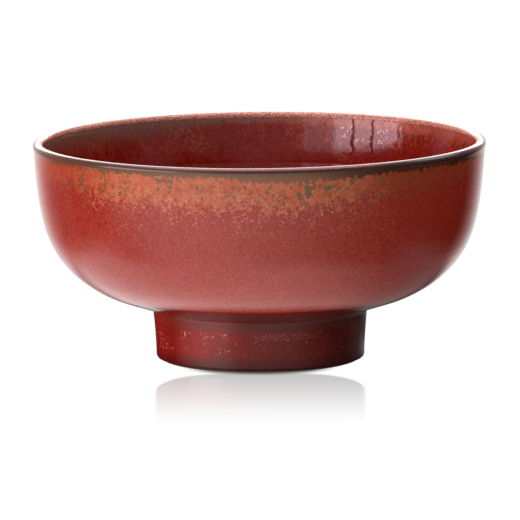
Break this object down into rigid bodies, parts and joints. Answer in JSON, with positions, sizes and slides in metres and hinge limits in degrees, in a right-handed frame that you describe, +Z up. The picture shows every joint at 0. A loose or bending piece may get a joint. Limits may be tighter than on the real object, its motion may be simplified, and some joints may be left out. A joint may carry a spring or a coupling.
{
  "type": "footed stoneware bowl",
  "caption": "Deep round stoneware bowl on a straight ring foot, with a crimson reactive glaze and a dark iron rim; free-standing, holds food.",
  "frame": {"origin": "on the bowl's axis, at the level of the foot's resting face", "axes": "+Z up along the bowl's axis of revolution; X and Y are level, and -Y faces the viewer of the front view"},
  "size_m": [0.155, 0.155, 0.0755],
  "materials": {
    "stoneware": "fired unglazed stoneware, matte, seen only at the foot's resting edge",
    "stoneware_foot": "fired unglazed stoneware, matte",
    "slip": "fired joining slip, matte, hidden",
    "crimson_inside": "deep crimson gloss glaze, mottled",
    "crimson_outside": "coral to crimson reactive gloss glaze, mottled with orange and olive specks under the rim",
    "iron_rim": "dark olive brown iron glaze, glossy, broken lower edge",
    "crimson_foot": "dark crimson gloss glaze with orange speckle",
    "crimson_well": "dark crimson gloss glaze"
  },
  "bodies": {
    "root": {"bowl_body": "stoneware", "foot_ring": "stoneware_foot", "slip_joint": "slip", "inner_glaze": "crimson_inside", "outer_glaze": "crimson_outside", "rim_glaze": "iron_rim", "foot_glaze": "crimson_foot", "foot_well_glaze": "crimson_well"}
  },
  "joints": []
}
